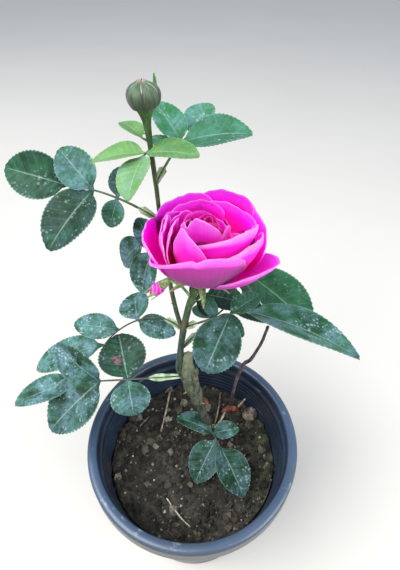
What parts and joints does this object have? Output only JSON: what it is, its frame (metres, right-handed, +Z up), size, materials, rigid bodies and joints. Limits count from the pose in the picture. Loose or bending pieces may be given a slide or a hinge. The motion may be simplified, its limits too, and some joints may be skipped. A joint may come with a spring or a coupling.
{
  "type": "potted rose bush",
  "caption": "Potted rose bush: slanting stem, compound leaves, open bloom and closed buds, rooted in a round nursery pot of soil.",
  "frame": {"origin": "middle of the pot's flat underside", "axes": "+Z up along the pot's axis; the picture is taken from the -Y side, +X is to its right"},
  "size_m": [0.1837, 0.167, 0.3006],
  "materials": {
    "pot": "satin",
    "soil": "rough",
    "old_stem": "matte",
    "green_shoot": "satin",
    "dead_wood": "matte",
    "leaf": "satin",
    "young_leaf": "satin",
    "sepal": "matte",
    "petal": "matte",
    "bud_petal": "matte"
  },
  "bodies": {
    "root": {"pot": "pot", "soil": "soil", "main_stem": "old_stem", "dead_cane": "dead_wood", "flower_shoot": "green_shoot", "bud_shoot": "green_shoot", "bloom_calyx": "sepal", "bloom": "petal", "top_bud": "sepal", "side_bud_stalk": "sepal", "side_bud": "bud_petal", "leaf_upper_left": "leaf", "leaf_upper_right": "leaf", "leaf_young": "young_leaf", "leaf_bract": "young_leaf", "leaf_right": "leaf", "leaf_mid_left": "leaf", "leaf_low_left": "leaf", "leaf_behind_right": "leaf", "leaf_under_bloom": "leaf", "leaf_behind_left": "leaf", "leaf_near_soil": "leaf", "leaf_back": "leaf", "leaf_back_right": "leaf"}
  },
  "joints": []
}
